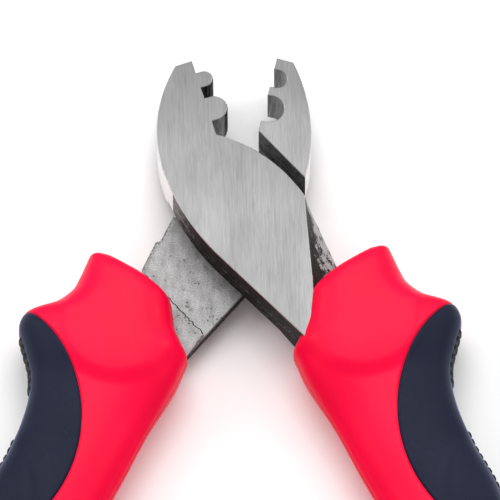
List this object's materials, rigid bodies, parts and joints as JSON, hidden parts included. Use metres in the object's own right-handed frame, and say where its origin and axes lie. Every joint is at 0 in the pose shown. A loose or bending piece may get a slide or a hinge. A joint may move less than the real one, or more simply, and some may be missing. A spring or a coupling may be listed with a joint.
{
  "type": "crimping pliers",
  "caption": "Lap-joint hand pliers with stepped round dies and matching cups in the jaws and two-colour moulded grips, shown open.",
  "frame": {"origin": "on the pivot axis, in the flat back face of the head", "axes": "+Z along the pivot axis out of the front face, +Y from the pivot midway between the open jaws to their tips"},
  "size_m": [0.1036, 0.1339, 0.0156],
  "materials": {
    "ground_steel": "straight-ground faces, dark forged sides",
    "blasted_steel": "ground jaw face, grit-blasted shank with dark specks",
    "rivet_steel": "dressed flush and ground",
    "red_sleeve": "satin moulded sleeve",
    "navy_pad": "matte soft moulded pad",
    "black_tread": "matte ribbed rubber"
  },
  "bodies": {
    "back_lever": {"back_lever_forging": "blasted_steel", "left_grip_sleeve": "red_sleeve", "left_finger_pad": "navy_pad", "left_tread_strip": "black_tread"},
    "front_lever": {"front_lever_forging": "ground_steel", "pivot_rivet": "rivet_steel", "right_grip_sleeve": "red_sleeve", "right_finger_pad": "navy_pad", "right_tread_strip": "black_tread"}
  },
  "joints": [
    {"name": "jaw_pivot", "type": "hinge", "parent": "back_lever", "child": "front_lever", "pos_m": [0, 0, 0], "axis": [0, 0, 1], "range_deg": [-29.8, 9]}
  ]
}
